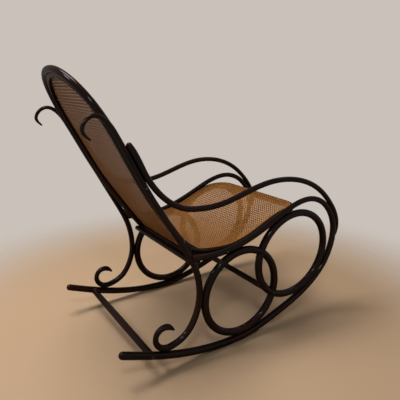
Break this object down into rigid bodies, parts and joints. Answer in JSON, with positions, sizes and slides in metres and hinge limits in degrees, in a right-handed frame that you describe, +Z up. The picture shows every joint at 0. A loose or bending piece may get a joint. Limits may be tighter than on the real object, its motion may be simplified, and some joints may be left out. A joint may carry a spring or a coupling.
{
  "type": "rocking chair",
  "caption": "Bentwood rocking chair with scrolled side frames, sweeping arms, and a woven cane seat and back.",
  "frame": {"origin": "middle of the chair's length and width, on the floor that the rockers stand on", "axes": "+X is the way the sitter faces, +Y is the sitter's left, +Z is up"},
  "size_m": [1.0358, 0.547, 0.9509],
  "materials": {
    "stained_beech": "glossy dark stain",
    "woven_cane": "woven cane, natural",
    "screw_steel": "dulled"
  },
  "bodies": {
    "root": {"rocker_rod_left": "stained_beech", "post_rod_left": "stained_beech", "arm_rod_left": "stained_beech", "lower_ring_left": "stained_beech", "front_oval_left": "stained_beech", "scroll_screw_left": "screw_steel", "ring_foot_screw_left": "screw_steel", "ring_top_screw_left": "screw_steel", "ring_leg_screw_left": "screw_steel", "oval_top_screw_left": "screw_steel", "oval_foot_screw_left": "screw_steel", "arm_rear_screw_left": "screw_steel", "arm_front_screw_left": "screw_steel", "limb_screw_left": "screw_steel", "seat_rear_screw_left": "screw_steel", "seat_side_screw_left": "screw_steel", "front_stretcher_screw_left": "screw_steel", "rear_stretcher_screw_left": "screw_steel", "rocker_rod_right": "stained_beech", "post_rod_right": "stained_beech", "arm_rod_right": "stained_beech", "lower_ring_right": "stained_beech", "front_oval_right": "stained_beech", "scroll_screw_right": "screw_steel", "ring_foot_screw_right": "screw_steel", "ring_top_screw_right": "screw_steel", "ring_leg_screw_right": "screw_steel", "oval_top_screw_right": "screw_steel", "oval_foot_screw_right": "screw_steel", "arm_rear_screw_right": "screw_steel", "arm_front_screw_right": "screw_steel", "limb_screw_right": "screw_steel", "seat_rear_screw_right": "screw_steel", "seat_side_screw_right": "screw_steel", "front_stretcher_screw_right": "screw_steel", "rear_stretcher_screw_right": "screw_steel", "back_frame": "stained_beech", "back_bottom_rail": "stained_beech", "lower_cross_rail": "stained_beech", "seat_frame": "stained_beech", "seat_rear_rail": "stained_beech", "rear_stretcher": "stained_beech", "front_stretcher": "stained_beech", "back_cane": "woven_cane", "seat_cane": "woven_cane"}
  },
  "joints": []
}
